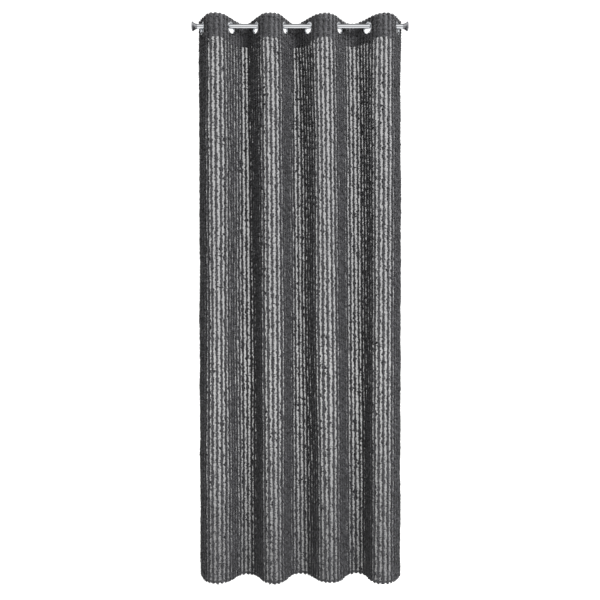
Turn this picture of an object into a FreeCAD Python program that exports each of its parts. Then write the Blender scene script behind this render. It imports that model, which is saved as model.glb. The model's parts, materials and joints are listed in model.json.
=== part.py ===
"""Eyelet curtain panel hanging on its rod, in millimetres.

Frame: the origin is the middle of the rod's axis. +X runs along the rod to the right, +Y points to
the wall and +Z up, so the face of the cloth looks towards -Y.

The cloth hangs in loops: it passes through the rod's vertical plane at every eyelet, runs round a
crest in front of the rod or a valley behind it, and comes back at the next eyelet. The stretch from
the middle of one loop to the middle of the next, with one eyelet in its centre, is a flank. Flanks
are rigid here and meet at upright fold lines, so that the panel gathers along the rod. A flank's
cloth is several solids: a half of each loop it reaches, over the full drop, and the rest, which is
the flat with the side margin if it has one, cut at the header's lower edge.
"""

import FreeCAD
import Part
import math
import os

from FreeCAD import Vector

# ---- the panel ---------------------------------------------------------------------------------
EYELET_PAIRS = 4                # an even number of eyelets turns both side edges to the wall
EYELET_SPACING = 180.0          # centre to centre along the flat cloth
SIDE_MARGIN = 70.0              # last eyelet's centre to the side edge, along the cloth
DROP = 2500.0                   # top edge to bottom edge
CLOTH_THICKNESS = 1.2           # ground cloth with its yarn pressed flat

# ---- how it hangs at rest ----------------------------------------------------------------------
# Angle in degrees between the rod and the cloth at each eyelet.
FLANK_ANGLES = (61.0, 58.0, 57.0, 62.0, 53.0, 57.0, 52.0, 61.0)
# How round each loop's tip is, from 0 for a sharp fold to 1 for an arc that starts at a flange.
LOOP_ROUNDNESS = (0.87, 0.48, 0.94, 0.36, 0.97, 0.78, 0.95)
EDGE_CURL_RADIUS = 16.0         # the side margins curl towards the wall
EDGE_ANGLE = math.radians(102.0)    # angle between the rod and the side edge's own strip

# ---- header and hems ---------------------------------------------------------------------------
HEADER_HEIGHT = 102.0
EYELET_BELOW_TOP = 43.0         # eyelet's centre under the top edge
TAPE_THICKNESS = 0.8
LAYER_GAP = 0.1                 # between the cloth and the tape inside the header
BOTTOM_HEM = 10.0
SIDE_HEM = 12.0

# ---- eyelets -----------------------------------------------------------------------------------
EYELET_BORE = 44.0
EYELET_FLANGE = 57.0
BARREL_WALL = 1.2
FRONT_DOME = 3.4                # height of the front ring over the cloth
BACK_DOME = 2.9
FLANGE_RIM = 0.6                # height of either ring's outer rim
THROAT_ROUNDING = 2.4           # part of the dome's height that the bore's mouth rounds off
SNAP_BEAD = 0.35                # ridge round the barrel that the back ring clicks over
FLANGE_GAP = 0.05               # ring to cloth
BARREL_CLEARANCE = 0.1          # barrel to back ring
CLOTH_HOLE_CLEARANCE = 0.4      # barrel to the hole's cut edge
FLAT_MARGIN = 1.3               # flat cloth beyond the flange

# ---- rod and finials ---------------------------------------------------------------------------
ROD_DIAMETER = 22.0
ROD_WALL = 1.0
ROD_OVERHANG = 26.0             # rod beyond the last eyelet's centre
ROD_TOP_CLEARANCE = 0.765       # rod to the inside of the most slanted barrel
PLUG_LENGTH = 34.0
PLUG_CLEARANCE = 0.05
SPIGOT_DIAMETER = 12.0
SPIGOT_LENGTH = 28.0
SPIGOT_CLEARANCE = 0.05
FINIAL_GAP = 0.3                # finial's shoulder to the end of the rod
FINIAL_NECK = 2.5
FINIAL_NECK_STEP = 0.5          # neck's radius beyond the rod's
FINIAL_FLARE = 16.5             # length of the trumpet
FINIAL_RIM_DIAMETER = 42.0
FINIAL_RIM = 1.6                # straight edge of the rim
FINIAL_DOME = 5.4               # rise of the end face
FINIAL_FLAT = 1.5               # radius of the flat that turning leaves in the dome's middle
FLARE_HOLLOW = 1.7              # how far the trumpet's side curves in

# ---- fold lines --------------------------------------------------------------------------------
FOLD_GAP = 0.3                  # between neighbouring flanks

PARTS = "parts"
EYELET_COUNT = 2 * EYELET_PAIRS
STACK = 2 * CLOTH_THICKNESS + TAPE_THICKNESS + 2 * LAYER_GAP
FRONT_FACE = STACK / 2
BACK_FACE = -STACK / 2
FRONT_LAYER = (FRONT_FACE - CLOTH_THICKNESS, FRONT_FACE)
BACK_LAYER = (BACK_FACE, BACK_FACE + CLOTH_THICKNESS)
HEM_LAYER = (FRONT_LAYER[0] - CLOTH_THICKNESS, FRONT_LAYER[0])
TAPE_LAYER = (-TAPE_THICKNESS / 2, TAPE_THICKNESS / 2)

FLAT_HALF = EYELET_FLANGE / 2 + FLAT_MARGIN
BARREL_RADIUS = EYELET_BORE / 2 + BARREL_WALL


def flank_angle(k):
    """Angle between the rod and the cloth at eyelet k."""
    return math.radians(FLANK_ANGLES[k % len(FLANK_ANGLES)])


def ring_height():
    """Height of the eyelets' centres, with their barrels just clear of the top of the rod.

    Seen along a barrel, the rod is an ellipse that the slant makes wider than it is high, and it
    is off centre by as much as it drifts over the barrel's reach behind the header.
    """
    bore = EYELET_BORE / 2 - ROD_TOP_CLEARANCE
    reach = FLANGE_GAP + BACK_DOME - BACK_FACE
    heights = []
    for slant in map(flank_angle, range(EYELET_COUNT)):
        for turn in map(math.radians, range(91)):
            across = ROD_DIAMETER / 2 / math.sin(slant) * math.cos(turn) + reach / math.tan(slant)
            heights.append(ROD_DIAMETER / 2 * math.sin(turn) - math.sqrt(bore ** 2 - across ** 2))
    return max(heights)


EYELET_Z = ring_height()
TOP_Z = EYELET_Z + EYELET_BELOW_TOP
HEADER_BOTTOM_Z = TOP_Z - HEADER_HEIGHT
BOTTOM_Z = TOP_Z - DROP


class Loop:
    """The cloth between eyelets k and k + 1.

    A crest (side -1) stands in front of the rod and a valley (side +1) behind it. Two straight
    runs leave the eyelets at their own angles, and an arc joins them at the tip.
    """

    def __init__(self, k, left_eyelet_x):
        left, right = flank_angle(k), flank_angle(k + 1)
        half_turn = (left + right) / 2
        saved = 2 * (math.tan(half_turn) - half_turn)   # corner minus arc, per unit of radius
        spread = 1 / math.sin(left) + 1 / math.sin(right)
        steeper = spread * math.sin(max(left, right))
        widest = ((EYELET_SPACING / steeper - FLAT_HALF)
                  / (math.tan(half_turn) - saved / steeper))
        self.side = -1 if k % 2 == 0 else 1
        self.radius = LOOP_ROUNDNESS[k % len(LOOP_ROUNDNESS)] * widest
        corner = (EYELET_SPACING + self.radius * saved) / spread
        self.width = corner * (1 / math.tan(left) + 1 / math.tan(right))
        straight = corner / math.sin(left) - self.radius * math.tan(half_turn)
        self.centre_x = (left_eyelet_x + straight * math.cos(left)
                         + self.radius * math.sin(left))
        self.centre_y = self.side * (straight * math.sin(left) - self.radius * math.cos(left))
        # Half way between the eyelets on the loop's inner surface, so that the eyelets stay on
        # the rod and nothing bites as the loop closes.
        self.hinge_x = left_eyelet_x + self.width / 2
        inner = self.radius - STACK / 2
        self.hinge_y = self.centre_y + self.side * math.sqrt(
            inner ** 2 - (self.hinge_x - self.centre_x) ** 2)

    def arc_radius(self, offset):
        """Radius of the layer that lies offset in front of the header's middle surface."""
        return self.radius - self.side * offset

    def point(self, offset, angle):
        """Point on that layer, angle round from the arc's middle towards +X."""
        radius = self.arc_radius(offset)
        return (self.centre_x + radius * math.sin(angle),
                self.centre_y + self.side * radius * math.cos(angle))

    def cut_angle(self, offset, towards):
        """Angle at which that layer stops, half a fold gap short of the hinge."""
        across = self.hinge_x + towards * FOLD_GAP / 2 - self.centre_x
        return math.asin(across / self.arc_radius(offset))


def hung_loops():
    """The loops from left to right, with the eyelets centred on the rod."""
    width = sum(Loop(n, 0).width for n in range(EYELET_COUNT - 1))
    loops, x = [], -width / 2
    for n in range(EYELET_COUNT - 1):
        loops.append(Loop(n, x))
        x += loops[-1].width
    return loops


LOOPS = hung_loops()
EYELET_X = [LOOPS[0].hinge_x - LOOPS[0].width / 2]
EYELET_X += [loop.hinge_x + loop.width / 2 for loop in LOOPS]
ROD_LENGTH = EYELET_X[-1] - EYELET_X[0] + 2 * ROD_OVERHANG


def flank_slope(k):
    """Y direction of the cloth at eyelet k, walking towards +X."""
    return -1 if k % 2 == 0 else 1


def front_normal(k):
    """Unit vector out of the face of the cloth at eyelet k."""
    angle = flank_angle(k)
    return (flank_slope(k) * math.sin(angle), -math.cos(angle))


def on_flat(k, offset, along):
    """Point of the straight part at eyelet k, along the cloth towards +X from the eyelet."""
    nx, ny = front_normal(k)
    return (EYELET_X[k] - along * ny + offset * nx, along * nx + offset * ny)


def edge_curl(k, offset, towards):
    """One surface of a side margin at eyelet k: the curl's start, middle and end, and the edge.

    towards is -1 for the left edge and +1 for the right one. The margin leaves the flat at the
    flange's rim, curls to EDGE_ANGLE and ends in a straight strip.
    """
    first = flank_angle(k)
    start_x, start_y = on_flat(k, 0, towards * FLAT_HALF)
    centre_x = start_x - towards * EDGE_CURL_RADIUS * math.sin(first)
    centre_y = start_y + EDGE_CURL_RADIUS * math.cos(first)
    radius = EDGE_CURL_RADIUS + offset      # the face is the outside of the curl
    points = [(centre_x + towards * radius * math.sin(angle), centre_y - radius * math.cos(angle))
              for angle in (first, (first + EDGE_ANGLE) / 2, EDGE_ANGLE)]
    strip = SIDE_MARGIN - FLAT_HALF - EDGE_CURL_RADIUS * (EDGE_ANGLE - first)
    points.append((points[-1][0] + towards * strip * math.cos(EDGE_ANGLE),
                   points[-1][1] + strip * math.sin(EDGE_ANGLE)))
    return points


def layer_edges(k, offset):
    """One surface of flank k in plan, as (start, middle or None, end) runs from left to right.

    They come by section: the left half loop, the middle, which is the flat round the eyelet with
    the side margin if the flank has one, the right half loop, and all of it.
    """
    angle = flank_angle(k)
    left, right = [], []
    middle = [(on_flat(k, offset, -FLAT_HALF), None, on_flat(k, offset, FLAT_HALF))]
    if k > 0:
        cut = LOOPS[k - 1].cut_angle(offset, 1)
        left = [tuple(LOOPS[k - 1].point(offset, a) for a in (cut, (cut + angle) / 2, angle))]
        middle[0] = (left[0][2],) + middle[0][1:]
    else:
        start, half, end, edge = edge_curl(k, offset, -1)
        middle = [(edge, None, end), (end, half, start)] + middle
    if k < EYELET_COUNT - 1:
        cut = LOOPS[k].cut_angle(offset, -1)
        right = [tuple(LOOPS[k].point(offset, a) for a in (-angle, (cut - angle) / 2, cut))]
        middle[-1] = middle[-1][:2] + (right[0][0],)
    else:
        start, half, end, edge = edge_curl(k, offset, 1)
        middle += [(start, half, end), (end, None, edge)]
    return {"left": left, "middle": middle, "right": right, "all": left + middle + right}


def plan_edge(run, z):
    """A straight run or an arc at height z."""
    start, middle, end = run
    if middle is None:
        return Part.LineSegment(Vector(*start, z), Vector(*end, z)).toShape()
    return Part.Arc(Vector(*start, z), Vector(*middle, z), Vector(*end, z)).toShape()


def sheet_solid(k, section, layer, low, high):
    """One section of flank k's cloth, between two surfaces and two heights."""
    back, front = (layer_edges(k, offset)[section] for offset in layer)
    edges = [plan_edge(run, low) for run in back]
    edges.append(plan_edge((back[-1][2], None, front[-1][2]), low))
    edges += [plan_edge(run, low) for run in reversed(front)]
    edges.append(plan_edge((front[0][0], None, back[0][0]), low))
    face = Part.Face(Part.Wire(Part.__sortEdges__(edges)))
    return face.extrude(Vector(0, 0, high - low))


def side_hem(k, towards):
    """The side edge turned back once behind itself, below the header."""
    def edge_strip(offset):
        *_, end, edge = edge_curl(k, offset, towards)
        length = math.dist(end, edge)
        share = min(SIDE_HEM, length) / length
        start = tuple(e + share * (s - e) for s, e in zip(end, edge))
        return start, edge

    (inner_start, inner_edge), (outer_start, outer_edge) = (edge_strip(o) for o in HEM_LAYER)
    corners = [inner_start, inner_edge, outer_edge, outer_start, inner_start]
    face = Part.Face(Part.makePolygon([Vector(*c, BOTTOM_Z) for c in corners]))
    return face.extrude(Vector(0, 0, HEADER_BOTTOM_Z - BOTTOM_Z))


def at_eyelet(k, shape):
    """Moves a shape made round +Z to eyelet k, with +Z along the front normal."""
    nx, ny = front_normal(k)
    turned = FreeCAD.Rotation(Vector(0, 0, 1), Vector(nx, ny, 0))
    shape.Placement = FreeCAD.Placement(Vector(EYELET_X[k], 0, EYELET_Z), turned)
    return shape


def barrel_hole(k):
    """The round hole that the eyelet's barrel needs in the header."""
    radius = BARREL_RADIUS + CLOTH_HOLE_CLEARANCE
    return at_eyelet(k, Part.makeCylinder(radius, 4 * STACK, Vector(0, 0, -2 * STACK)))


def turned_header(k, section):
    """The header's cloth: down the face, over the top edge and down behind the tape."""
    face = sheet_solid(k, section, FRONT_LAYER, HEADER_BOTTOM_Z, TOP_Z)
    return face.fuse([
        sheet_solid(k, section, BACK_LAYER, HEADER_BOTTOM_Z, TOP_Z),
        sheet_solid(k, section, (BACK_FACE, FRONT_FACE), TOP_Z - CLOTH_THICKNESS, TOP_Z)])


def drop(k, section):
    """The single cloth below the header, with its bottom hem and any side hem."""
    hems = [sheet_solid(k, section, HEM_LAYER, BOTTOM_Z, BOTTOM_Z + BOTTOM_HEM)]
    if section == "middle" and k in (0, EYELET_COUNT - 1):
        hems.append(side_hem(k, -1 if k == 0 else 1))
    return sheet_solid(k, section, FRONT_LAYER, BOTTOM_Z, HEADER_BOTTOM_Z).fuse(hems)


def header_tape(k):
    """Stiffening tape that lies inside the header."""
    top = TOP_Z - CLOTH_THICKNESS - LAYER_GAP
    return sheet_solid(k, "all", TAPE_LAYER, HEADER_BOTTOM_Z, top).cut(barrel_hole(k))


def loop_name(k):
    """Crests and valleys counted from the left; loop k follows eyelet k."""
    return ("crest_" if k % 2 == 0 else "valley_") + str(k // 2 + 1)


def cloth(k):
    """Flank k's cloth by node name."""
    whole = {"left": loop_name(k - 1) + "_right", "right": loop_name(k) + "_left"}
    if k == 0:
        del whole["left"]
    if k == EYELET_COUNT - 1:
        del whole["right"]
    parts = {f"eyelet_header_{k + 1}": turned_header(k, "middle").cut(barrel_hole(k)),
             f"eyelet_drop_{k + 1}": drop(k, "middle")}
    for section, name in whole.items():
        parts[name] = turned_header(k, section).fuse(drop(k, section))
    return {name: shape.removeSplitter() for name, shape in parts.items()}


def revolved(runs):
    """Solid of revolution round Z of a closed outline, in radius and height."""
    edges = []
    for start, middle, end in runs:
        start, end = Vector(start[0], 0, start[1]), Vector(end[0], 0, end[1])
        if middle is None:
            edges.append(Part.LineSegment(start, end).toShape())
        else:
            edges.append(Part.Arc(start, Vector(middle[0], 0, middle[1]), end).toShape())
    face = Part.Face(Part.Wire(edges))
    return face.revolve(Vector(0, 0, 0), Vector(0, 0, 1), 360)


def outline(points):
    """Closed chain of runs through points. A point given with "arc" is passed on a curve."""
    runs, pending, first, last = [], None, points[0], points[0]
    for point in list(points[1:]) + [first]:
        if point[-1] == "arc":
            pending = point[:2]
            continue
        runs.append((last, pending, point))
        last, pending = point, None
    return runs


def eyelet_front():
    """Domed ring with the barrel that goes through the header, its snap bead near the end."""
    bore, rim = EYELET_BORE / 2, EYELET_FLANGE / 2
    seat = FRONT_FACE + FLANGE_GAP
    tip = BACK_FACE - FLANGE_GAP - BACK_DOME
    bead = (BACK_FACE + tip) / 2
    crown = (bore + rim) / 2 - 0.06 * (rim - bore)
    return revolved(outline([
        (bore, tip + BARREL_WALL / 3),
        (bore, seat + FRONT_DOME - THROAT_ROUNDING),
        (crown, seat + FRONT_DOME, "arc"),
        (rim, seat + FLANGE_RIM),
        (rim, seat),
        (BARREL_RADIUS, seat),
        (BARREL_RADIUS, bead + SNAP_BEAD),
        (BARREL_RADIUS + SNAP_BEAD, bead),
        (BARREL_RADIUS, bead - SNAP_BEAD),
        (BARREL_RADIUS, tip),
        (bore + BARREL_WALL / 3, tip),
    ]))


def eyelet_back():
    """Flatter ring that clicks over the barrel behind the header."""
    inner, rim = BARREL_RADIUS + BARREL_CLEARANCE, EYELET_FLANGE / 2
    seat = BACK_FACE - FLANGE_GAP
    tip = seat - BACK_DOME
    bead = (BACK_FACE + tip) / 2
    groove = SNAP_BEAD + BARREL_CLEARANCE
    return revolved(outline([
        (inner, seat),
        (rim, seat),
        (rim, seat - FLANGE_RIM),
        ((inner + rim) / 2, tip, "arc"),
        (inner, tip + FLANGE_RIM / 2),
        (inner, bead - groove),
        (inner + groove, bead),
        (inner, bead + groove),
    ]))


def along_rod(shape, x, towards):
    """Moves a shape made round +Z to the rod's axis at x, with +Z along -X or +X."""
    turned = FreeCAD.Rotation(Vector(0, 0, 1), Vector(towards, 0, 0))
    shape.Placement = FreeCAD.Placement(Vector(x, 0, 0), turned)
    return shape


def rod_tube():
    outer, inner = ROD_DIAMETER / 2, ROD_DIAMETER / 2 - ROD_WALL
    tube = Part.makeCylinder(outer, ROD_LENGTH).cut(Part.makeCylinder(inner, ROD_LENGTH))
    return along_rod(tube, -ROD_LENGTH / 2, 1)


def finial_plug(towards):
    """Plastic bush pressed into the rod's end, which grips the finial's spigot."""
    outer = ROD_DIAMETER / 2 - ROD_WALL - PLUG_CLEARANCE
    inner = SPIGOT_DIAMETER / 2 + SPIGOT_CLEARANCE
    plug = Part.makeCylinder(outer, PLUG_LENGTH).cut(Part.makeCylinder(inner, PLUG_LENGTH))
    return along_rod(plug, towards * (ROD_LENGTH / 2 - PLUG_LENGTH), towards)


def finial(towards):
    """Turned trumpet with a domed end and a spigot."""
    neck, rim = ROD_DIAMETER / 2 + FINIAL_NECK_STEP, FINIAL_RIM_DIAMETER / 2
    spigot = SPIGOT_DIAMETER / 2
    flare_start = FINIAL_GAP + FINIAL_NECK
    flare_end = flare_start + FINIAL_FLARE
    rim_end = flare_end + FINIAL_RIM
    side = ((neck + rim) / 2 - FLARE_HOLLOW, (flare_start + flare_end) / 2, "arc")
    crown = (rim / 2, rim_end + 0.78 * FINIAL_DOME, "arc")
    body = revolved(outline([
        (0, -SPIGOT_LENGTH),
        (spigot, -SPIGOT_LENGTH),
        (spigot, FINIAL_GAP),
        (neck, FINIAL_GAP),
        (neck, flare_start),
        side,
        (rim, flare_end),
        (rim, rim_end),
        crown,
        (FINIAL_FLAT, rim_end + FINIAL_DOME),
        (0, rim_end + FINIAL_DOME),
    ]))
    return along_rod(body, towards * ROD_LENGTH / 2, towards)


def build():
    """Every sub-part by node name."""
    parts = {"rod_tube": rod_tube()}
    for name, towards in (("left", -1), ("right", 1)):
        parts[f"finial_{name}"] = finial(towards)
        parts[f"finial_plug_{name}"] = finial_plug(towards)
    for k in range(EYELET_COUNT):
        parts.update(cloth(k))
        parts[f"header_tape_{k + 1}"] = header_tape(k)
        parts[f"eyelet_front_{k + 1}"] = at_eyelet(k, eyelet_front())
        parts[f"eyelet_back_{k + 1}"] = at_eyelet(k, eyelet_back())
    return parts


def main():
    os.makedirs(PARTS, exist_ok=True)
    for name, shape in build().items():
        shape.exportStep(os.path.join(PARTS, name + ".step"))


if __name__ == "__main__":
    main()
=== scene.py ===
"""Eyelet curtain panel on its rod: cloth, fringe, header, hems, eyelets, rod and finials.

Lengths here are in millimetres; mesh_piece turns them to metres. +X runs along the rod, +Y points
to the wall and +Z up. A place on the cloth is given by three numbers: along, measured on the flat
cloth from the first eyelet towards +X; height, the frame's Z; and lift, the distance out of the
header's middle, square to the cloth and towards its face.
"""

import json
import math

import bpy
import numpy as np
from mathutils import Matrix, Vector


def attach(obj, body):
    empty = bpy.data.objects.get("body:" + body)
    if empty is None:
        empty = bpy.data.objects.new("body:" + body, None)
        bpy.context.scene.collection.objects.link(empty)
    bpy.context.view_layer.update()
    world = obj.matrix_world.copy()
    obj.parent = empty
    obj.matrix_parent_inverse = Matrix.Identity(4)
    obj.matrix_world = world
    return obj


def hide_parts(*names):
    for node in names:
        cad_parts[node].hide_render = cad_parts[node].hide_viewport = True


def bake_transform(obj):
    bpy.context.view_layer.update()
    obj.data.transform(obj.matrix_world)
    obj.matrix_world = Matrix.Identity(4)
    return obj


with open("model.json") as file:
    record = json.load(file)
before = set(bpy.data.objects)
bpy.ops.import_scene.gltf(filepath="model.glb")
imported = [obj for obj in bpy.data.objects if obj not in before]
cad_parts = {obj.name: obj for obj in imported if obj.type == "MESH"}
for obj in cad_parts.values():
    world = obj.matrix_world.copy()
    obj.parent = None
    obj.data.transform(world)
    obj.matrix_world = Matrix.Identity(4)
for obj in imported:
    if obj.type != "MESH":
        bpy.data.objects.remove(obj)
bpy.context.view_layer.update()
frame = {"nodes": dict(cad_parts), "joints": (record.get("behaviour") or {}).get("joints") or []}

MM = 0.001
RNG = np.random.default_rng(7)

# ---- the panel as it is cut and hung -------------------------------------------------------------
EYELETS = 8
SPACING = 180.0                 # eyelet to eyelet on the flat cloth
MARGIN = 70.0                   # last eyelet to the side edge
TOP = 34.4
HEADER_BOTTOM = TOP - 102.0
BOTTOM = TOP - 2500.0
EYELET_HEIGHT = -8.6
FLANGE_FLAT = 29.8              # the cloth is flat this far round an eyelet
STACK = 3.4                     # header thickness: cloth, tape and turned-over cloth
CLOTH = 1.2
LAST = SPACING * (EYELETS - 1)
FACE = STACK / 2 - CLOTH / 2    # middle of the face cloth, in front of the header's middle
HEM_TURN_UP = 10.0              # the bottom edge is turned up behind by this much
SIDE_HEM = 12.0                 # and each side edge is turned back by this much
TAPE_GAP = 0.2                  # between the tape's top edge and the fold of the cloth over it
THREAD_STEP = 3.7               # between lengthwise lines of the cloth's mesh
DROP_ROWS, HEADER_ROWS, TAPE_ROWS = 150, 42, 44     # crosswise lines of each stretch

# Angle between the rod and the cloth at each eyelet, in the header.
HEADER_ANGLES = np.radians([61, 58, 57, 62, 53, 57, 52, 61])
EDGE_ANGLE = math.radians(102)
EDGE_CURL_RADIUS = 16.0

# Tips of the crests and valleys at the hem, and how far the side margins have opened there.
HEM_FIRST_TIP = -361.0
HEM_TIP_SPACING = np.array([126.0, 123.0, 117.0, 128.0, 125.0, 108.0])
HEM_SIDE_ANGLE = math.radians(60)
HEM_EDGE_ANGLE = math.radians(84)

# The folds go over from the header's plan to the hem's with this power of the way down. Ripples
# start below the header, grow to their whole size over SETTLE, and each is given as its size, its
# seed, and how long it is along the cloth and down it.
CHANGE_OVER = 0.75
SETTLE = 160.0
SWAY = ((2.0, 3, 420, 900), (1.1, 4, 90, 260), (0.35, 5, 26, 70))
RIPPLE_WAVES = 9

# ---- fringe --------------------------------------------------------------------------------------
ROW_PITCH = 20.0
PILE_HALF_WIDTH = 3.8           # the matted foot of a row's pile, half an ellipse in section
PILE_HEIGHT = 6.4
LOBE_PITCH = 7.5                # the foot swells to either side in lobes about this long
BACK_PILE_HEIGHT = 1.8          # the yarn is drawn through, so the back has a shorter pile
STATION = 4.2                   # between sections of the pile's foot
TUFT_PITCH = 9.0                # the loose ends lean together in tufts this far apart
LASHES_PER_TUFT = 10
BACK_LASHES_PER_TUFT = 2
LASH_WIDTH = 1.8
TUFT_REACH = (0.2, 11.4)        # loose end beyond the foot, sideways
HEM_FULLNESS = 0.35             # the ends reach this much further at the hem
TUFT_RISE = (0.5, 3.9)          # and outwards
TUFT_DROOP = (-2.0, 5.0)        # tip below its root
END_LASHES = 34                 # at each end of a row, over the top edge and under the hem
TOP_END_LENGTH = 6.5
HEM_END_LENGTH = 9.0
FOOT_EDGE = 88                  # degrees from straight out to the foot's edge on the cloth
OWN_ROW = 9                     # ripples this short across the cloth differ from row to row
SEAT_GAP = 0.1                  # between the cloth and the foot
BACK_PILE_START = 12.0          # the back's pile starts above the turned-up hem
# How far out of the header's middle the pile stands: on either side of the header, and behind the
# single cloth below it.
OUTSIDE = FACE + CLOTH / 2
BEHIND = CLOTH / 2 - FACE

# ---- stitching -----------------------------------------------------------------------------------
STITCH = 3.2
STITCH_GAP = 1.2
STITCH_ARCH = 0.45
THREAD_RADIUS = 0.35
HEADER_SEAM = 4.0               # above the header's lower edge
HEM_SEAM = 7.0                  # above the bottom

# ---- hardware ------------------------------------------------------------------------------------
BORE_RADIUS = 22.0
HOLE_RADIUS = BORE_RADIUS + 3.6
FLANGE_RADIUS = 28.5
BARREL_WALL = 1.2
RING_GAP = 0.05                 # between either ring and the cloth
FACE_RING_HEIGHT = 3.45         # the domed ring's crown above the header
BACK_RING_HEIGHT = 2.95         # the flatter ring's, and the barrel's end
ROD_RADIUS = 11.0
ROD_WALL = 1.0
ROD_OVERHANG = 26.0             # rod beyond the last eyelet
FINIAL_NECK = 11.5              # radius where the trumpet meets the rod
FLARE_RADIUS = 21.0
FLARE_START, FLARE_END = 2.8, 19.3      # along the axis from the rod's end
RIM_END = 20.9
DOME_RADIUS, DOME_HEIGHT = 20.0, 5.4
SPIGOT_RADIUS, SPIGOT_LENGTH = 6.0, 28.0
AXIS_HOLE = 0.3                 # the finial's profile stops this short of its axis
LATHE_STEPS = 96
CORNER_POINTS = 5


# ---- how the cloth hangs -------------------------------------------------------------------------
HINGES = {j["name"]: j for j in frame["joints"]}


def eyelet_places():
    """X of each eyelet: the first fold's axis, and then as far past each fold as before it."""
    places = [HINGES["fold_1"]["pos_m"][0] / MM]
    for k in range(2, EYELETS + 1):
        places.append(2 * HINGES[f"fold_{k}"]["pos_m"][0] / MM - places[-1])
    return np.array(places)


EYELET_X = eyelet_places()
ROD_HALF = (EYELET_X[-1] - EYELET_X[0]) / 2 + ROD_OVERHANG


def header_heading(along):
    """Heading of the header in plan, in radians from +X.

    Straight at its own angle round each eyelet, and between two eyelets one arc whose radius makes
    the straights and the arc add up to the eyelet spacing. The margins curl to EDGE_ANGLE.
    """
    curl = EDGE_CURL_RADIUS * (EDGE_ANGLE - HEADER_ANGLES[0])
    knots = [(-MARGIN, -EDGE_ANGLE), (-FLANGE_FLAT - curl, -EDGE_ANGLE),
             (-FLANGE_FLAT, -HEADER_ANGLES[0])]
    for k in range(EYELETS - 1):
        a, b = HEADER_ANGLES[k], HEADER_ANGLES[k + 1]
        side = -1 if k % 2 == 0 else 1
        corner = (EYELET_X[k + 1] - EYELET_X[k]) / (1 / math.tan(a) + 1 / math.tan(b))
        legs = corner / math.sin(a), corner / math.sin(b)
        saved = 2 * math.tan((a + b) / 2) - (a + b)
        radius = (sum(legs) - SPACING) / saved
        straight = legs[0] - radius * math.tan((a + b) / 2)
        start = k * SPACING + straight
        knots += [(start, side * a), (start + radius * (a + b), -side * b)]
    knots += [(LAST + FLANGE_FLAT, HEADER_ANGLES[-1]),
              (LAST + FLANGE_FLAT + curl, EDGE_ANGLE), (LAST + MARGIN, EDGE_ANGLE)]
    where, heading = np.array(knots).T
    return np.interp(along, where, heading)


def hem_heading(along):
    """Heading of the hem in plan: a sine wave from tip to tip.

    Between two tips it is A cos(pi s), with s the share of the way past the eyelet line, and A is
    the angle that makes the cloth of one flank reach from tip to tip. The side margins go on
    opening to HEM_EDGE_ANGLE.
    """
    trial = np.linspace(0.1, 2.0, 400)
    phase = np.linspace(-0.5, 0.5, 201)
    reach = np.cos(trial[:, None] * np.cos(math.pi * phase)).mean(axis=1) * SPACING
    swings = np.interp(-HEM_TIP_SPACING, -reach, trial)
    swings = np.concatenate([[HEM_SIDE_ANGLE], swings, [HEM_SIDE_ANGLE]])
    flank = np.clip(np.rint(along / SPACING), 0, EYELETS - 1).astype(int)
    side = np.where(flank % 2 == 0, -1, 1)
    heading = side * swings[flank] * np.cos(math.pi * (along / SPACING - flank))
    beyond = np.clip(np.maximum(-along, along - LAST) / MARGIN, 0, 1)
    opened = HEM_SIDE_ANGLE + (HEM_EDGE_ANGLE - HEM_SIDE_ANGLE) * np.sin(beyond * math.pi / 2)
    return np.where(beyond > 0, side * opened, heading)


TABLE = np.arange(-MARGIN, LAST + MARGIN + 0.25, 0.5)


def plan_curve(heading):
    """x and y along TABLE: the running sum of each step in its direction."""
    middle = (heading[1:] + heading[:-1]) / 2
    step = np.diff(TABLE)
    x = np.concatenate([[0], np.cumsum(np.cos(middle) * step)])
    y = np.concatenate([[0], np.cumsum(np.sin(middle) * step)])
    return x, y


def header_curve():
    """The header's plan, with the first eyelet on the rod."""
    x, y = plan_curve(header_heading(TABLE))
    return (x - np.interp(0, TABLE, x) + EYELET_X[0], y - np.interp(0, TABLE, y))


def hem_curve():
    """The hem's plan, with its first tip in place and level with the rod on average."""
    x, y = plan_curve(hem_heading(TABLE))
    x = x - np.interp(SPACING / 2, TABLE, x) + HEM_FIRST_TIP
    first, last = np.interp([0, LAST], TABLE, y)
    return x, y - first - (last - first) * TABLE / LAST


HEADER_X, HEADER_Y = header_curve()
HEM_X, HEM_Y = hem_curve()


def ripple(along, height, seed, scale_along, scale_down):
    """Smooth noise of about -1 to 1: sine waves with random directions and phases, added up and
    divided by the square root of their number."""
    rng = np.random.default_rng(seed)
    total = np.zeros(np.broadcast(along, height).shape)
    for _ in range(RIPPLE_WAVES):
        fa, fd = rng.normal(0, 1 / scale_along), rng.normal(0, 1 / scale_down)
        total += np.sin(2 * math.pi * (fa * along + fd * height) + rng.uniform(0, 2 * math.pi))
    return total / math.sqrt(RIPPLE_WAVES)


def below_header(height):
    """Share of the way from the header to the hem, 0 to 1."""
    return np.clip((HEADER_BOTTOM - height) / (HEADER_BOTTOM - BOTTOM), 0, 1)


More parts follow.
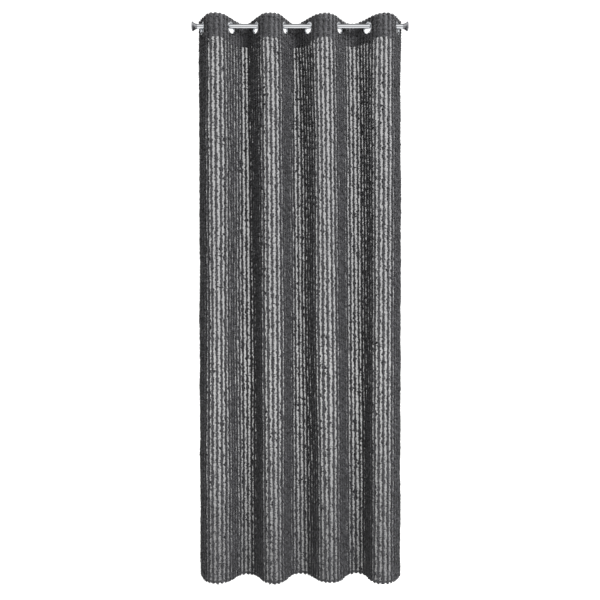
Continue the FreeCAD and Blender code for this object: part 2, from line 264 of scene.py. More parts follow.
def hang(along, height, lift):
    """Points of the hung panel.

    The plan at each height lies between the header's and the hem's, and a slow ripple across the
    folds and a fine pucker are added below the header. Lift goes out along the plan's normal.
    """
    along, height, lift = np.broadcast_arrays(along, height, lift)
    share = below_header(height) ** CHANGE_OVER

    def plan(place):
        return [(1 - share) * np.interp(place, TABLE, header) + share * np.interp(place, TABLE, hem)
                for header, hem in ((HEADER_X, HEM_X), (HEADER_Y, HEM_Y))]

    x, y = plan(along)
    tx, ty = np.subtract(plan(along + 2), plan(along - 2))
    length = np.hypot(tx, ty)
    nx, ny = ty / length, -tx / length
    soft = np.clip((HEADER_BOTTOM - height) / SETTLE, 0, 1)
    sway = sum(size * ripple(along, height, *waves) for size, *waves in SWAY)
    out = lift + soft * sway
    return np.stack([x + nx * out, y + ny * out, height + 0 * x], axis=-1)


# ---- mesh helpers --------------------------------------------------------------------------------
def mesh_piece(name, points, faces, material, uv=None, shade=None, smooth=True):
    """A mesh object from millimetre points and quads, with a UV map in metres and a shade value."""
    points = np.asarray(points, float).reshape(-1, 3) * MM
    faces = np.asarray(faces, np.int32).reshape(-1, 4)
    mesh = bpy.data.meshes.new(name)
    mesh.vertices.add(len(points))
    mesh.vertices.foreach_set("co", points.astype(np.float32).ravel())
    mesh.loops.add(faces.size)
    mesh.loops.foreach_set("vertex_index", faces.ravel())
    mesh.polygons.add(len(faces))
    mesh.polygons.foreach_set("loop_start", np.arange(0, faces.size, 4, dtype=np.int32))
    mesh.polygons.foreach_set("use_smooth", np.full(len(faces), smooth))
    mesh.update(calc_edges=True)
    if uv is not None:
        layer = mesh.uv_layers.new(name="cloth")
        pairs = np.asarray(uv, float).reshape(-1, 2)[faces.ravel()] * MM
        layer.data.foreach_set("uv", pairs.astype(np.float32).ravel())
    if shade is not None:
        attribute = mesh.attributes.new("yarn_shade", "FLOAT", "POINT")
        attribute.data.foreach_set("value", np.asarray(shade, np.float32).ravel())
    mesh.validate()
    mesh.materials.append(material)
    obj = bpy.data.objects.new(name, mesh)
    bpy.context.scene.collection.objects.link(obj)
    return obj


def grid_faces(rows, columns):
    """Quads of a grid of points stored row by row, counter-clockwise with columns to the right."""
    r, c = np.meshgrid(np.arange(rows - 1), np.arange(columns - 1), indexing="ij")
    corner = r * columns + c
    return np.stack([corner, corner + 1, corner + columns + 1, corner + columns], -1).reshape(-1, 4)


def repeat_faces(pattern, size, count):
    """The faces of one small shape of size points, repeated for count copies stored in a row."""
    return (np.asarray(pattern)[None] + size * np.arange(count)[:, None, None]).reshape(-1, 4)


def shader(name):
    """A new material, its Principled shader and its node tree."""
    material = bpy.data.materials.new(name)
    material.use_nodes = True
    tree = material.node_tree
    principled = tree.nodes["Principled BSDF"]
    return material, principled, tree


def node(tree, kind, settings=None, **inputs):
    """Adds a node. Settings are its properties; inputs are values or sockets to link from, by the
    input's name or, where names repeat, by _ and its number."""
    made = tree.nodes.new(kind)
    for key, value in (settings or {}).items():
        setattr(made, key, value)
    for key, value in inputs.items():
        socket = made.inputs[int(key[1:]) if key[0] == "_" else key.replace("_", " ")]
        if isinstance(value, bpy.types.NodeSocket):
            tree.links.new(value, socket)
        else:
            socket.default_value = value
    return made


def linear(hex_colour):
    """sRGB hex to a linear colour with alpha 1."""
    parts = [int(hex_colour[i:i + 2], 16) / 255 for i in (1, 3, 5)]
    return [p / 12.92 if p <= 0.04045 else ((p + 0.055) / 1.055) ** 2.4 for p in parts] + [1]


def dye(tree, principled, factor, first, second):
    """Gives the surface a colour between two hex colours, by a pattern's factor."""
    mixed = node(tree, "ShaderNodeMix", {"data_type": "RGBA"}, _0=factor, _6=linear(first),
                 _7=linear(second))
    tree.links.new(mixed.outputs[2], principled.inputs["Base Color"])


# ---- materials -----------------------------------------------------------------------------------
def polyester_voile():
    """Plain-woven polyester voile, dyed charcoal: fine yarns far apart, so light comes through."""
    material, principled, tree = shader("charcoal_polyester_voile")
    uv = node(tree, "ShaderNodeUVMap", {"uv_map": "cloth"}).outputs["UV"]
    # Voile has about 25 yarns to the centimetre; too fine to show, so bands are 5 mm apart.
    bands = node(tree, "ShaderNodeTexWave", {"bands_direction": "Y"}, Vector=uv, Scale=60.0,
                 Distortion=1.2, Detail=1.0, Detail_Scale=3.0)
    slub = node(tree, "ShaderNodeTexNoise", Vector=uv, Scale=120.0, Detail=3.0)
    body = node(tree, "ShaderNodeMath", {"operation": "MULTIPLY_ADD"}, _0=bands.outputs["Fac"],
                _1=0.12, _2=0.48)
    cover = node(tree, "ShaderNodeMath", {"operation": "MULTIPLY_ADD"}, _0=slub.outputs["Fac"],
                 _1=0.16, _2=body.outputs[0])
    # Painted shade: the cloth is made more opaque over the lowest metre, most of all at the hem, so
    # that it shows darker there, as if less light came from behind it.
    thread = node(tree, "ShaderNodeSeparateXYZ", Vector=uv).outputs["Y"]
    closed = node(tree, "ShaderNodeMapRange", {"interpolation_type": "SMOOTHSTEP"}, Value=thread,
                  From_Min=0.0, From_Max=1.1, To_Min=0.2, To_Max=0.0)
    whole = node(tree, "ShaderNodeMath", {"operation": "ADD"}, _0=cover.outputs[0],
                 _1=closed.outputs["Result"])
    tree.links.new(whole.outputs[0], principled.inputs["Alpha"])
    dye(tree, principled, slub.outputs["Fac"], "#262628", "#4a4a4d")
    principled.inputs["Roughness"].default_value = 0.8
    principled.inputs["Sheen Weight"].default_value = 0.15
    return material


def fringe_yarn():
    """Soft spun polyester yarn, cut into lashes and brushed: matt, each lash a little different."""
    material, principled, tree = shader("brushed_fringe_yarn")
    shade = node(tree, "ShaderNodeAttribute", {"attribute_name": "yarn_shade"}).outputs["Fac"]
    place = node(tree, "ShaderNodeTexCoord").outputs["Object"]
    fibre = node(tree, "ShaderNodeTexNoise", Vector=place, Scale=900.0, Detail=2.0)
    dye(tree, principled, shade, "#1a1a1c", "#6a6a6e")
    bump = node(tree, "ShaderNodeBump", Height=fibre.outputs["Fac"], Strength=0.5, Distance=0.0004)
    tree.links.new(bump.outputs["Normal"], principled.inputs["Normal"])
    principled.inputs["Roughness"].default_value = 0.75
    principled.inputs["Sheen Weight"].default_value = 0.25
    return material


def header_fleece():
    """Bonded non-woven header tape: pressed fibres with no weave, dyed grey."""
    material, principled, tree = shader("bonded_header_tape")
    place = node(tree, "ShaderNodeTexCoord").outputs["Object"]
    fibre = node(tree, "ShaderNodeTexNoise", Vector=place, Scale=260.0, Detail=4.0, Roughness=0.7)
    dye(tree, principled, fibre.outputs["Fac"], "#8a8a8c", "#b4b4b6")
    bump = node(tree, "ShaderNodeBump", Height=fibre.outputs["Fac"], Strength=0.4, Distance=0.0003)
    tree.links.new(bump.outputs["Normal"], principled.inputs["Normal"])
    principled.inputs["Roughness"].default_value = 0.9
    return material


def sewing_thread():
    """Two-ply sewing thread, charcoal: a faint twist and sheen."""
    material, principled, tree = shader("charcoal_sewing_thread")
    place = node(tree, "ShaderNodeTexCoord").outputs["Object"]
    twist = node(tree, "ShaderNodeTexNoise", Vector=place, Scale=700.0, Detail=1.0)
    dye(tree, principled, twist.outputs["Fac"], "#2a2a2c", "#58585b")
    principled.inputs["Roughness"].default_value = 0.5
    principled.inputs["Sheen Weight"].default_value = 0.1
    return material


def chrome_plate():
    """Bright chrome plate on a moulded ring: a mirror with very faint polishing haze."""
    material, principled, tree = shader("chrome_plated_eyelet")
    place = node(tree, "ShaderNodeTexCoord").outputs["Object"]
    haze = node(tree, "ShaderNodeTexNoise", Vector=place, Scale=160.0, Detail=3.0)
    rough = node(tree, "ShaderNodeMapRange", Value=haze.outputs["Fac"], To_Min=0.06, To_Max=0.16)
    tree.links.new(rough.outputs["Result"], principled.inputs["Roughness"])
    dye(tree, principled, haze.outputs["Fac"], "#dcdee2", "#eceef0")
    principled.inputs["Metallic"].default_value = 1.0
    return material


def drawn_tube_chrome():
    """Chrome-plated drawn steel tube: polished along its length, so it has faint long streaks."""
    material, principled, tree = shader("chrome_plated_drawn_tube")
    place = node(tree, "ShaderNodeTexCoord").outputs["Object"]
    stretched = node(tree, "ShaderNodeMapping", Vector=place, Scale=(2.0, 400.0, 400.0))
    streak = node(tree, "ShaderNodeTexNoise", Vector=stretched.outputs["Vector"], Scale=1.0,
                  Detail=3.0)
    rough = node(tree, "ShaderNodeMapRange", Value=streak.outputs["Fac"], To_Min=0.05, To_Max=0.14)
    tree.links.new(rough.outputs["Result"], principled.inputs["Roughness"])
    dye(tree, principled, streak.outputs["Fac"], "#d6d8dc", "#eaecee")
    principled.inputs["Metallic"].default_value = 1.0
    return material


def turned_nickel():
    """Satin nickel on a turned trumpet: fine rings round the axis left by the lathe."""
    material, principled, tree = shader("satin_nickel_turned")
    place = node(tree, "ShaderNodeTexCoord").outputs["Object"]
    # The lathe's marks are about 0.2 mm apart; too fine to show, so rings are 0.8 mm apart.
    rings = node(tree, "ShaderNodeTexWave", {"bands_direction": "X"}, Vector=place, Scale=400.0,
                 Distortion=0.6, Detail=1.0)
    grime = node(tree, "ShaderNodeTexNoise", Vector=place, Scale=90.0, Detail=4.0)
    rough = node(tree, "ShaderNodeMapRange", Value=grime.outputs["Fac"], To_Min=0.26, To_Max=0.4)
    bump = node(tree, "ShaderNodeBump", Height=rings.outputs["Fac"], Strength=0.15,
                Distance=0.0001)
    tree.links.new(rough.outputs["Result"], principled.inputs["Roughness"])
    tree.links.new(bump.outputs["Normal"], principled.inputs["Normal"])
    dye(tree, principled, grime.outputs["Fac"], "#9fa0a4", "#bfc0c3")
    principled.inputs["Metallic"].default_value = 1.0
    return material


def moulded_nylon():
    """Moulded nylon bush, off-white: matt, with a slight mottle from the mould."""
    material, principled, tree = shader("moulded_nylon_plug")
    place = node(tree, "ShaderNodeTexCoord").outputs["Object"]
    mottle = node(tree, "ShaderNodeTexNoise", Vector=place, Scale=400.0, Detail=2.0)
    dye(tree, principled, mottle.outputs["Fac"], "#c9c8c2", "#dedcd6")
    principled.inputs["Roughness"].default_value = 0.55
    return material


VOILE = polyester_voile()
YARN = fringe_yarn()
FLEECE = header_fleece()
THREAD = sewing_thread()
CHROME = chrome_plate()
TUBE_CHROME = drawn_tube_chrome()
NICKEL = turned_nickel()
NYLON = moulded_nylon()


# ---- strips of the panel -------------------------------------------------------------------------
class Strip:
    """A width of the panel between two eyelet lines, or a side margin beyond the last of them."""

    def __init__(self, number):
        self.number = number
        self.start = -MARGIN if number == 0 else (number - 1) * SPACING
        self.end = 0.0 if number == 0 else min(number * SPACING, LAST + MARGIN)
        if number == EYELETS:
            self.start, self.end = LAST, LAST + MARGIN
        self.width = self.end - self.start
        self.eyelets = [u for u in (self.start, self.end) if 0 <= u <= LAST]

    def carry(self, obj):
        """The pieces of a side margin follow its outer flank; every other piece stays where it was
        made, with its place baked into its points."""
        if self.number == 0:
            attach(obj, "flank_1")
        elif self.number == EYELETS:
            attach(obj, f"flank_{EYELETS}")
        else:
            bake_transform(obj)


STRIPS = [Strip(number) for number in range(EYELETS + 1)]


def distance_to_eyelet(strip, along, height):
    """Distance on the cloth to the nearest eyelet's centre."""
    return np.min([np.hypot(along - u, height - EYELET_HEIGHT) for u in strip.eyelets], axis=0)


def cloth_heights():
    """Path of one lengthwise thread: up the face from the bottom, over the top, down the back.

    Returns height and lift for each row. The turn at the top is a half circle as thick as the
    header, and the hem is turned up behind the face by the same kind of turn.
    """
    turn = np.linspace(0, math.pi, 9)
    crown = TOP - FACE
    hem = CLOTH / 2
    stretches = [
        (np.linspace(BOTTOM + HEM_TURN_UP, BOTTOM + 1, 4), FACE - 2 * hem),
        (BOTTOM + hem - hem * np.sin(turn), FACE - hem - hem * np.cos(turn)),
        (np.linspace(BOTTOM + 2, HEADER_BOTTOM - 4, DROP_ROWS), FACE),
        (np.linspace(HEADER_BOTTOM, crown - 0.5, HEADER_ROWS), FACE),
        (crown + FACE * np.sin(turn), FACE * np.cos(turn)),
        (np.linspace(crown - 0.5, HEADER_BOTTOM, HEADER_ROWS), -FACE)]
    lifts = [np.broadcast_to(lift, height.shape) for height, lift in stretches]
    return np.concatenate([height for height, lift in stretches]), np.concatenate(lifts)


def face_middles(u, h, faces):
    """Middle of each face on the flat cloth."""
    return u.ravel()[faces].mean(axis=1), h.ravel()[faces].mean(axis=1)


def holed_grid(strip, heights):
    """Places along and up a strip on a grid of threads, and its faces, holed at the eyelets."""
    columns = int(round(strip.width / THREAD_STEP)) + 1
    u, h = np.meshgrid(np.linspace(strip.start, strip.end, columns), heights)
    faces = grid_faces(*u.shape)
    return u, h, faces[distance_to_eyelet(strip, *face_middles(u, h, faces)) > HOLE_RADIUS]


def cloth_strip(strip):
    """The voile of one strip, down its face, over the top and behind, as one grid of threads."""
    heights, lifts = cloth_heights()
    u, h, faces = holed_grid(strip, heights)
    thread = np.concatenate([[0], np.cumsum(np.hypot(np.diff(heights), np.diff(lifts)))])
    uv = np.stack(np.broadcast_arrays(u, thread[:, None]), -1)
    return mesh_piece(f"voile_{strip.number + 1}", hang(u, h, lifts[:, None]), faces, VOILE, uv=uv)


def tape_strip(strip):
    """Header tape inside the turned-over top: a grid in the middle of the header's thickness."""
    u, h, faces = holed_grid(strip, np.linspace(HEADER_BOTTOM, TOP - CLOTH - TAPE_GAP, TAPE_ROWS))
    return mesh_piece(f"header_tape_strip_{strip.number + 1}", hang(u, h, 0.0), faces, FLEECE)


# ---- fringe --------------------------------------------------------------------------------------
def row_places(strip):
    """The fringe rows that fall in a strip; none lies on a seam between strips."""
    rows = np.arange(-MARGIN, LAST + MARGIN, ROW_PITCH)[1:]
    return rows[(rows > strip.start) & (rows < strip.end)]


def clear_of_eyelets(strip, along, height):
    """True where yarn stands beside the eyelets' rings and not under them."""
    return distance_to_eyelet(strip, along, height) > FLANGE_RADIUS + 0.5


def pile_feet(strip, low, high, side, seat=OUTSIDE, pile=PILE_HEIGHT, station=STATION):
    """The matted foot of each row's pile, carried down the row: half an ellipse in section, whose
    two half widths and height each waver down the row in lobes, with small lumps all over."""
    rows = row_places(strip)
    heights = np.arange(low, high, station)
    round_way = np.radians(np.linspace(-FOOT_EDGE, FOOT_EDGE, 6))
    row, h, way = np.meshgrid(rows, heights, round_way, indexing="ij")
    sides = row + 2 * ROW_PITCH * np.sign(way)      # so that the two half widths differ
    width = PILE_HALF_WIDTH * np.exp(0.65 * ripple(sides, h, 21, OWN_ROW, LOBE_PITCH))
    width = np.clip(width, 0.4 * PILE_HALF_WIDTH, 2.5 * PILE_HALF_WIDTH)
    width = width * np.clip(np.exp(RNG.normal(0, 0.25, row.shape)), 0.5, 2.0)
    rise = pile * (1 + 0.12 * ripple(row, h, 26, OWN_ROW, 22))
    rise = rise * RNG.uniform(0.75, 1.2, row.shape)
    u = row + 0.7 * ripple(row, h, 22, OWN_ROW, 60) + width * np.sin(way)
    lift = seat + SEAT_GAP + rise * np.cos(way)
    body = grid_faces(len(heights), len(round_way))
    faces = np.concatenate([body + i * h[0].size for i in range(len(rows))])
    keep = clear_of_eyelets(strip, *face_middles(u, h, faces))
    faces = faces[keep] if side > 0 else faces[keep][:, ::-1]
    shades = np.clip(0.12 + 0.1 * ripple(row, h, 23, OWN_ROW, 12), 0, 1).ravel()
    return hang(u, h, side * lift).reshape(-1, 3), faces, shades


def ribbons(u, h, lift, side):
    """Tapering ribbons through three stations along each lash, roots first.

    A ribbon's width is square to the lash on the flat cloth. A lash that stands straight out has
    no direction there, so its width goes along the cloth instead.
    """
    du, dh = np.gradient(u, axis=1), np.gradient(h, axis=1)
    length = np.hypot(du, dh) + 0.3
    taper = np.array([1.0, 0.9, 0.3]) * LASH_WIDTH / 2
    wide_u, wide_h = -dh / length * taper, du / length * taper
    thin = np.sqrt(np.clip(taper ** 2 - wide_u ** 2 - wide_h ** 2, 0, None)) * 0.6
    u = np.stack([u - wide_u - thin, u + wide_u + thin], -1)
    h = np.stack([h - wide_h, h + wide_h], -1)
    points = hang(u, h, side * lift[..., None]).reshape(-1, 3)
    faces = repeat_faces([[0, 1, 3, 2], [2, 3, 5, 4]], 6, len(u))
    return points, faces if side > 0 else faces[:, ::-1]


def lashes(strip, low, high, side, seat=OUTSIDE, pile=PILE_HEIGHT, per_tuft=LASHES_PER_TUFT):
    """Loose yarn ends that stand out of every row's pile, leaning together in tufts.

    Each leaves the foot's section at its own angle from straight out. A tuft has one reach to
    either side, one rise and one droop. Its ends lean towards its middle and are longest there,
    so the row's edges come out ragged.
    """
    rows = row_places(strip)
    tufts = int((high - low) / TUFT_PITCH)
    shape = (len(rows), tufts, per_tuft)
    row = rows[:, None, None]
    middle = (low + (np.arange(tufts)[None, :, None] + 0.5) * TUFT_PITCH
              + RNG.uniform(-2, 2, shape[:2])[..., None])
    fuller = 1 + HEM_FULLNESS * below_header(middle) ** 4
    left, right = (fuller * (TUFT_REACH[0] + np.ptp(TUFT_REACH)
                             * RNG.beta(1.0, 1.6, shape[:2])[..., None]) for _ in range(2))
    rise, droop = (RNG.uniform(*span, shape[:2])[..., None] for span in (TUFT_RISE, TUFT_DROOP))
    across = RNG.uniform(-0.62, 0.62, shape)
    angle = RNG.uniform(-1.5, 1.5, shape)
    spread = angle + RNG.normal(0, 0.2, shape)
    reach = np.where(angle < 0, left, right)
    longest = (1 - 0.9 * across ** 2) * RNG.uniform(0.6, 1.15, shape)
    root = middle + across * TUFT_PITCH
    end = root - across * TUFT_PITCH * 0.5 - droop + RNG.normal(0, 0.8, shape)
    base = row + 0.85 * PILE_HALF_WIDTH * np.sin(angle)
    low_lift = 0.85 * pile * np.cos(angle)
    tip = row + (PILE_HALF_WIDTH + reach * longest) * np.sin(spread)
    top = (pile + rise * longest) * np.cos(spread) + RNG.uniform(0.4, 1.1, shape)
    root, end, base, low_lift, tip, top = (
        np.broadcast_to(a, shape).ravel() for a in (root, end, base, low_lift, tip, top))
    keep = clear_of_eyelets(strip, tip, (root + end) / 2) & clear_of_eyelets(strip, base, root)
    root, end, base, low_lift, tip, top = (a[keep] for a in (root, end, base, low_lift, tip, top))
    u = np.stack([base, base * 0.4 + tip * 0.6, tip], -1)
    h = np.stack([root, root * 0.6 + end * 0.4 + 0.4, end], -1)
    lift = seat + np.stack([low_lift, low_lift * 0.35 + top * 0.65 + 0.4, top], -1)
    points, faces = ribbons(u, h, lift, side)
    return points, faces, np.repeat(RNG.beta(1.6, 3.4, len(u)), 6)


def end_lashes(strip, edge, towards):
    """Lashes at the two ends of every row, which stand up off the top edge or hang off the hem."""
    rows = row_places(strip)
    shape = (len(rows), END_LASHES)
    base = rows[:, None] + RNG.uniform(-1.7, 1.7, shape) * PILE_HALF_WIDTH
    depth = RNG.uniform(-1, 1, shape) * (FACE if towards > 0 else CLOTH / 2)
    depth = depth + (0 if towards > 0 else FACE)
    longest = TOP_END_LENGTH if towards > 0 else HEM_END_LENGTH
    longest = longest * RNG.uniform(0.6, 1.3, (len(rows), 1))
    out = RNG.uniform(1.2, longest, shape) * (0.75 + 0.25 * np.cos((base - rows[:, None]) / 2.0))
    lean = RNG.normal(0, 1.8, shape)
    u = np.stack([base, base + 0.4 * lean, base + lean], -1).reshape(-1, 3)
    h = (edge + towards * np.stack([0 * out - 1.2, 0.5 * out, out], -1)).reshape(-1, 3)
    lift = (depth[..., None] + RNG.normal(0, 1.4, shape)[..., None] * [0, 0.5, 1]).reshape(-1, 3)
    points, faces = ribbons(u, h, lift, 1)
    return points, faces, np.repeat(RNG.beta(1.6, 3.4, len(u)), 6)


def joined(parts):
    """Points and faces of several lots, each of which starts with its points and its faces."""
    starts = np.cumsum([0] + [len(p[0]) for p in parts[:-1]])
    faces = np.concatenate([p[1] + s for p, s in zip(parts, starts)])
    return np.concatenate([p[0] for p in parts]), faces


def joined_yarn(name, parts):
    """One piece made of several lots of points, faces and shades."""
    return mesh_piece(name, *joined(parts), YARN, shade=np.concatenate([p[2] for p in parts]),
                      smooth=False)


def fringe_strip(strip):
    """The pile of one strip on its face, with the ends that show past the top and the hem."""
    return joined_yarn(f"fringe_{strip.number + 1}", [
        pile_feet(strip, BOTTOM, TOP, 1), lashes(strip, BOTTOM, TOP, 1),
        end_lashes(strip, TOP, 1), end_lashes(strip, BOTTOM, -1)])


def back_fringe_strip(strip):
    """The short pile behind the cloth, and the face pile that is turned over behind the header."""
    hem = BOTTOM + BACK_PILE_START
    return joined_yarn(f"back_fringe_{strip.number + 1}", [
        pile_feet(strip, hem, HEADER_BOTTOM, -1, BEHIND, BACK_PILE_HEIGHT, 2 * STATION),
        lashes(strip, hem, HEADER_BOTTOM, -1, BEHIND, BACK_PILE_HEIGHT, BACK_LASHES_PER_TUFT),
        pile_feet(strip, HEADER_BOTTOM, TOP, -1), lashes(strip, HEADER_BOTTOM, TOP, -1)])


# ---- hems and seams ------------------------------------------------------------------------------
def side_hem(strip, towards):
    """The side edge turned back behind itself: a flat band joined to the edge by a half turn."""
    edge = strip.start if towards < 0 else strip.end
    turn = np.linspace(0, math.pi, 7)
    radius = CLOTH / 2
    across = np.concatenate([[0.0], towards * radius * np.sin(turn),
                             [-towards * SIDE_HEM / 2, -towards * SIDE_HEM]])
    lift = np.concatenate([[FACE], FACE - radius + radius * np.cos(turn), [FACE - CLOTH] * 2])
    u, h = np.meshgrid(edge + across, np.linspace(BOTTOM, HEADER_BOTTOM, DROP_ROWS))
    return mesh_piece("side_hem_" + ("left" if towards < 0 else "right"), hang(u, h, lift),
                      grid_faces(*u.shape), VOILE, uv=np.stack([u, h], -1))


def stitches(strip, height, side):
    """A line of machine stitches: each a ribbon along the cloth that rises in half a sine wave."""
    starts = np.arange(strip.start + 1, strip.end - STITCH, STITCH + STITCH_GAP)
    t = np.linspace(0, 1, 4)
    u = starts[:, None] + STITCH * t
    arch = STITCH_ARCH * np.sin(math.pi * t)
    h = height + 0.3 * np.sin(starts)[:, None] + 0 * u
    u = np.stack([u, u], -1)
    h = np.stack([h - THREAD_RADIUS, h + THREAD_RADIUS], -1)
    lift = side * (OUTSIDE + 0.15 + arch)[None, :, None]
    points = hang(u, h, lift).reshape(-1, 3)
    pattern = [[2 * i, 2 * i + 2, 2 * i + 3, 2 * i + 1] for i in range(3)]
    faces = repeat_faces(pattern, 8, len(starts))
    return points, faces if side > 0 else faces[:, ::-1]


def seam_strip(strip):
    """Stitch lines that hold the header's lower edge and the bottom hem."""
    lines = [stitches(strip, height, side)
             for height in (HEADER_BOTTOM + HEADER_SEAM, BOTTOM + HEM_SEAM) for side in (1, -1)]
    return mesh_piece(f"stitching_{strip.number + 1}", *joined(lines), THREAD, smooth=False)


# ---- turned metal --------------------------------------------------------------------------------
def lathe(name, profile, material, place):
    """A closed solid of revolution: profile (radius, height) pairs, counter-clockwise seen with the
    radius to the right, carried round the axis, then put in place by a function of points."""
    profile = np.asarray(profile, float)
    angle = np.linspace(0, 2 * math.pi, LATHE_STEPS, endpoint=False)
    ring = np.stack([np.cos(angle), np.sin(angle)], -1)
    points = np.concatenate([
        profile[None, :, :1] * ring[:, None, :],
        np.broadcast_to(profile[None, :, 1:], (LATHE_STEPS, len(profile), 1))], -1)
    count = len(profile)
    a, b = np.meshgrid(np.arange(LATHE_STEPS), np.arange(count), indexing="ij")
    nxt, up = (a + 1) % LATHE_STEPS, (b + 1) % count
    faces = np.stack([a * count + b, nxt * count + b, nxt * count + up, a * count + up], -1)
    return mesh_piece(name, place(points.reshape(-1, 3)), faces.reshape(-1, 4), material)


def rounded(points, radii):
    """A closed outline with its corners rounded: each corner becomes a quadratic curve that
    starts and ends radius before and after it."""
    out = []
    count = len(points)
    for i, (corner, radius) in enumerate(zip(points, radii)):
        corner = np.array(corner, float)
        if radius == 0:
            out.append(corner)
            continue
        before = np.array(points[i - 1], float) - corner
        after = np.array(points[(i + 1) % count], float) - corner
        start = corner + before / np.linalg.norm(before) * radius
        end = corner + after / np.linalg.norm(after) * radius
        for t in np.linspace(0, 1, CORNER_POINTS):
            out.append((1 - t) ** 2 * start + 2 * t * (1 - t) * corner + t ** 2 * end)
    return np.array(out)


def at_eyelet(k):
    """Function that takes points round +Z to eyelet k, with +Z out of the cloth's face."""
    slope = -1 if k % 2 == 0 else 1
    angle = HEADER_ANGLES[k]
    normal = np.array([slope * math.sin(angle), -math.cos(angle), 0])
    up = np.array([0, 0, 1.0])
    side = np.cross(up, normal)
    centre = np.array([EYELET_X[k], 0, EYELET_HEIGHT])

    def place(points):
        return centre + points[:, :1] * side + points[:, 1:2] * up + points[:, 2:] * normal
    return place


def take_place(piece, solid, body):
    """The piece stands in for one of the frame's solids and moves with its body."""
    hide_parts(solid)
    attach(piece, body)


def eyelet_front(k):
    """Domed face ring with the barrel that goes through the header."""
    seat = STACK / 2 + RING_GAP
    crown = STACK / 2 + FACE_RING_HEIGHT
    tail = -STACK / 2 - BACK_RING_HEIGHT
    outer = BORE_RADIUS + BARREL_WALL
    corners = [
        (BORE_RADIUS, tail), (outer, tail), (outer, -3.5), (outer + 0.35, -3.15), (outer, -2.8),
        (outer, seat), (FLANGE_RADIUS, seat), (FLANGE_RADIUS, seat + 0.8),
        (FLANGE_RADIUS - 1.6, crown - 0.9), (FLANGE_RADIUS - 4.0, crown),
        (BORE_RADIUS + 1.6, crown - 0.5), (BORE_RADIUS, crown - 2.4)]
    radii = [0.3, 0.3, 0.15, 0.1, 0.15, 0.1, 0.25, 0.35, 0.9, 1.2, 1.0, 0.8]
    ring = lathe(f"face_ring_{k + 1}", rounded(corners, radii), CHROME, at_eyelet(k))
    take_place(ring, f"eyelet_front_{k + 1}", f"flank_{k + 1}")


def eyelet_back(k):
    """Flatter ring that clicks over the barrel behind the header."""
    seat, crown = -STACK / 2 - RING_GAP, -STACK / 2 - BACK_RING_HEIGHT
    inner = BORE_RADIUS + BARREL_WALL + 0.1
    corners = [
        (inner, seat), (inner, -2.7), (inner + 0.45, -3.15), (inner, -3.6), (inner, crown + 0.3),
        (inner + 2.6, crown), (FLANGE_RADIUS - 2.4, crown + 0.5), (FLANGE_RADIUS, seat - 0.7),
        (FLANGE_RADIUS, seat)]
    radii = [0.1, 0.1, 0.1, 0.1, 0.12, 0.9, 0.9, 0.3, 0.2]
    ring = lathe(f"back_ring_{k + 1}", rounded(corners, radii), CHROME, at_eyelet(k))
    take_place(ring, f"eyelet_back_{k + 1}", f"flank_{k + 1}")


def along_rod(x, towards):
    """Function that takes points round +Z to the rod's axis at x, with +Z along -X or +X."""
    def place(points):
        return np.stack([x + towards * points[:, 2], towards * points[:, 0], points[:, 1]], -1)
    return place


def rod_tube():
    """The tube, its two ends chamfered inside and out."""
    inner = ROD_RADIUS - ROD_WALL
    stations = np.linspace(-ROD_HALF, ROD_HALF, 41)[1:-1]
    corners = [(inner, ROD_HALF), (inner, -ROD_HALF), (ROD_RADIUS, -ROD_HALF)]
    corners += [(ROD_RADIUS, s) for s in stations]
    corners += [(ROD_RADIUS, ROD_HALF)]
    radii = [0.3, 0.3, 0.3] + [0] * len(stations) + [0.3]
    tube = lathe("rod", rounded(corners, radii), TUBE_CHROME, along_rod(0, 1))
    take_place(tube, "rod_tube", "rod")


def finial(name, towards):
    """Trumpet on its spigot, lathed from one profile.

    The flare's radius grows from the neck with the power 1.7 of the way along it, and ends in a
    short straight rim and a low dome, a quarter of an ellipse.
    """
    t = np.linspace(0, 1, 14)
    flare = np.stack([FINIAL_NECK + (FLARE_RADIUS - FINIAL_NECK) * t ** 1.7,
                      FLARE_START + (FLARE_END - FLARE_START) * t], -1)
    arc = np.linspace(0, math.pi / 2, 14)
    dome = np.stack([AXIS_HOLE + DOME_RADIUS * np.cos(arc),
                     RIM_END + DOME_HEIGHT * np.sin(arc)], -1)
    spigot = [(AXIS_HOLE, -SPIGOT_LENGTH), (SPIGOT_RADIUS - 0.6, -SPIGOT_LENGTH),
              (SPIGOT_RADIUS, 0.8 - SPIGOT_LENGTH), (SPIGOT_RADIUS, 0.3)]
    shoulder = [(FINIAL_NECK - 0.4, 0.3), (FINIAL_NECK, 0.7)]
    profile = np.concatenate([spigot, shoulder, flare, [(FLARE_RADIUS, RIM_END)], dome])
    piece = lathe(f"{name}_trumpet", profile, NICKEL, along_rod(towards * ROD_HALF, towards))
    take_place(piece, name, name)


# ---- assembly ------------------------------------------------------------------------------------
def cloth_solids(strip):
    """Names of the frame's cloth solids that a strip stands for: its loop's halves, and the rest of
    the flank on its left, or on the margins the outer flank."""
    k = strip.number
    names = []
    if 0 < k < EYELETS:
        loop = ("crest_" if k % 2 else "valley_") + str((k + 1) // 2)
        names += [loop + "_left", loop + "_right"]
    if k != 1:
        flank = max(k, 1)
        names += [f"eyelet_header_{flank}", f"eyelet_drop_{flank}"]
    return names


def hang_strip(strip):
    """Makes a strip's pieces, hides the frame's solids they stand for, and has the strip carry each
    piece.
    """
    voile = cloth_strip(strip)
    fringe = fringe_strip(strip)
    tape = tape_strip(strip)
    seam = seam_strip(strip)
    extras = [fringe, back_fringe_strip(strip), seam]
    if strip.number == 0:
        extras.append(side_hem(strip, -1))
    if strip.number == EYELETS:
        extras.append(side_hem(strip, 1))
    if strip.number > 0:
        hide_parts(f"header_tape_{strip.number}")
    for solid in cloth_solids(strip):
        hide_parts(solid)
    for piece in [voile, tape] + extras:
        strip.carry(piece)


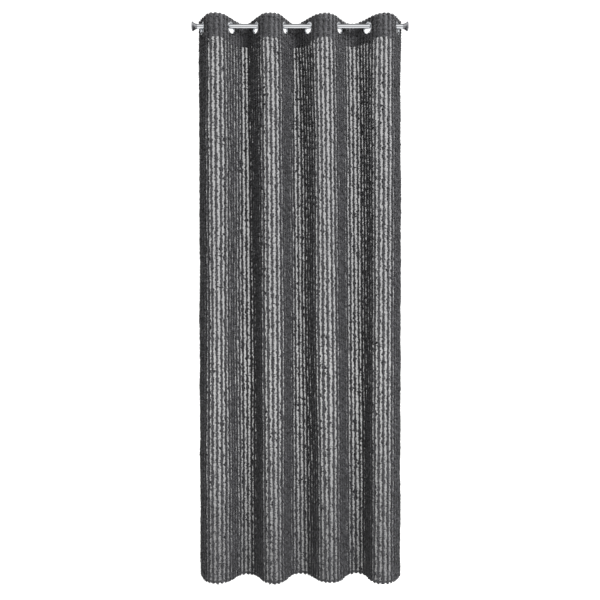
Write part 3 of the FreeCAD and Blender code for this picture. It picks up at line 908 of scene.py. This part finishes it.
for strip in STRIPS:
    hang_strip(strip)
for k in range(EYELETS):
    eyelet_front(k)
    eyelet_back(k)
rod_tube()
finial("finial_left", -1)
finial("finial_right", 1)
for side in ("left", "right"):
    # The plugs keep their own meshes and take only the nylon.
    plug = frame["nodes"][f"finial_plug_{side}"]
    plug.data.materials.clear()
    plug.data.materials.append(NYLON)


# ---- stage, light and camera ---------------------------------------------------------------------
BACKDROP = 1.25                 # radiance of the white surround; the lit floor is the same
FLOOR_BELOW_HEM = 130.0
FLOOR_REACH = 30000.0           # each way from the middle
AMBIENT = 0.42                  # what the surround sheds on matt surfaces
# What metal mirrors of the surround: its level at shares of the way from straight down to up.
SURROUND = ((0.0, 1.1), (0.17, 1.1), (0.22, 0.32), (0.42, 0.32), (0.50, 1.1), (0.88, 1.1),
            (0.93, 0.1))


def studio_floor():
    """A plain floor under the hem, which glows white so that it has almost no shadows."""
    material, principled, tree = shader("matt_studio_floor")
    place = node(tree, "ShaderNodeTexCoord").outputs["Object"]
    mottle = node(tree, "ShaderNodeTexNoise", Vector=place, Scale=3.0, Detail=4.0)
    dye(tree, principled, mottle.outputs["Fac"], "#858584", "#8b8b8a")
    principled.inputs["Roughness"].default_value = 0.9
    principled.inputs["Emission Color"].default_value = linear("#ffffff")
    principled.inputs["Emission Strength"].default_value = 1.0
    across = np.linspace(-FLOOR_REACH, FLOOR_REACH, 5)
    u, v = np.meshgrid(across, across)
    floor = mesh_piece("floor", np.stack([u, v, np.full(u.shape, BOTTOM - FLOOR_BELOW_HEM)], -1),
                       grid_faces(5, 5), material, smooth=False)
    floor.visible_glossy = False        # metal mirrors the graded surround instead,
    floor.visible_diffuse = False       # and the lower cloth takes no light from below


def lamp(name, kind, energy, place, aim, size):
    """A lamp at a place in metres, turned to a point and not mirrored in the metal. Its size is a
    square's side, or for the sun its angle."""
    data = bpy.data.lights.new(name, kind)
    data.energy = energy
    if kind == "AREA":
        data.shape, data.size, data.size_y = "RECTANGLE", size, size
    else:
        data.angle = size
    obj = bpy.data.objects.new(name, data)
    obj.location = place
    obj.rotation_euler = (Vector(aim) - Vector(place)).to_track_quat("-Z", "Y").to_euler()
    obj.visible_glossy = False
    bpy.context.scene.collection.objects.link(obj)


def studio_world():
    """Studio surround: white to the camera, even and dimmer to matt surfaces, in bands to metal."""
    world = bpy.data.worlds.new("white_studio")
    bpy.context.scene.world = world
    world.use_nodes = True
    tree = world.node_tree
    background = tree.nodes["Background"]
    background.inputs["Strength"].default_value = 1.0
    direction = node(tree, "ShaderNodeTexCoord").outputs["Generated"]
    level = node(tree, "ShaderNodeSeparateXYZ", Vector=direction).outputs["Z"]
    scaled = node(tree, "ShaderNodeMapRange", Value=level, From_Min=-1.0, From_Max=1.0)
    ramp = node(tree, "ShaderNodeValToRGB", Fac=scaled.outputs["Result"])
    elements = ramp.color_ramp.elements
    while len(elements) < len(SURROUND):
        elements.new(0.5)
    for element, (position, value) in zip(elements, SURROUND):
        element.position = position
        element.color = (value, value, value, 1)
    ray = node(tree, "ShaderNodeLightPath").outputs
    colour = ramp.outputs["Color"]
    for kind, value in (("Is Diffuse Ray", AMBIENT), ("Is Camera Ray", BACKDROP)):
        colour = node(tree, "ShaderNodeMix", {"data_type": "RGBA"}, _0=ray[kind], _6=colour,
                      _7=(value, value, value, 1)).outputs[2]
    tree.links.new(colour, background.inputs["Color"])


def camera():
    """Level camera in front of the panel, below its middle, with the rise taken by lens shift."""
    data = bpy.data.cameras.new("camera")
    data.sensor_width = 36.0
    data.lens = 40.56
    data.shift_y = 0.0362
    obj = bpy.data.objects.new("camera", data)
    obj.location = (0.0, -3.02, -1.319)
    obj.rotation_euler = (math.pi / 2, 0, 0)
    bpy.context.scene.collection.objects.link(obj)
    bpy.context.scene.camera = obj


studio_floor()
studio_world()
lamp("overhead", "SUN", 3.2, (0, -1, 3), (0, 0, 0), math.radians(50))
lamp("key_right", "AREA", 400, (2.8, -3.4, 0.6), (0, 0, -1.1), 2.0)
lamp("back_fill", "AREA", 150, (-2.4, 3.4, 0.4), (0, 0, -1.1), 2.0)
camera()
bpy.context.scene.view_settings.view_transform = "Standard"
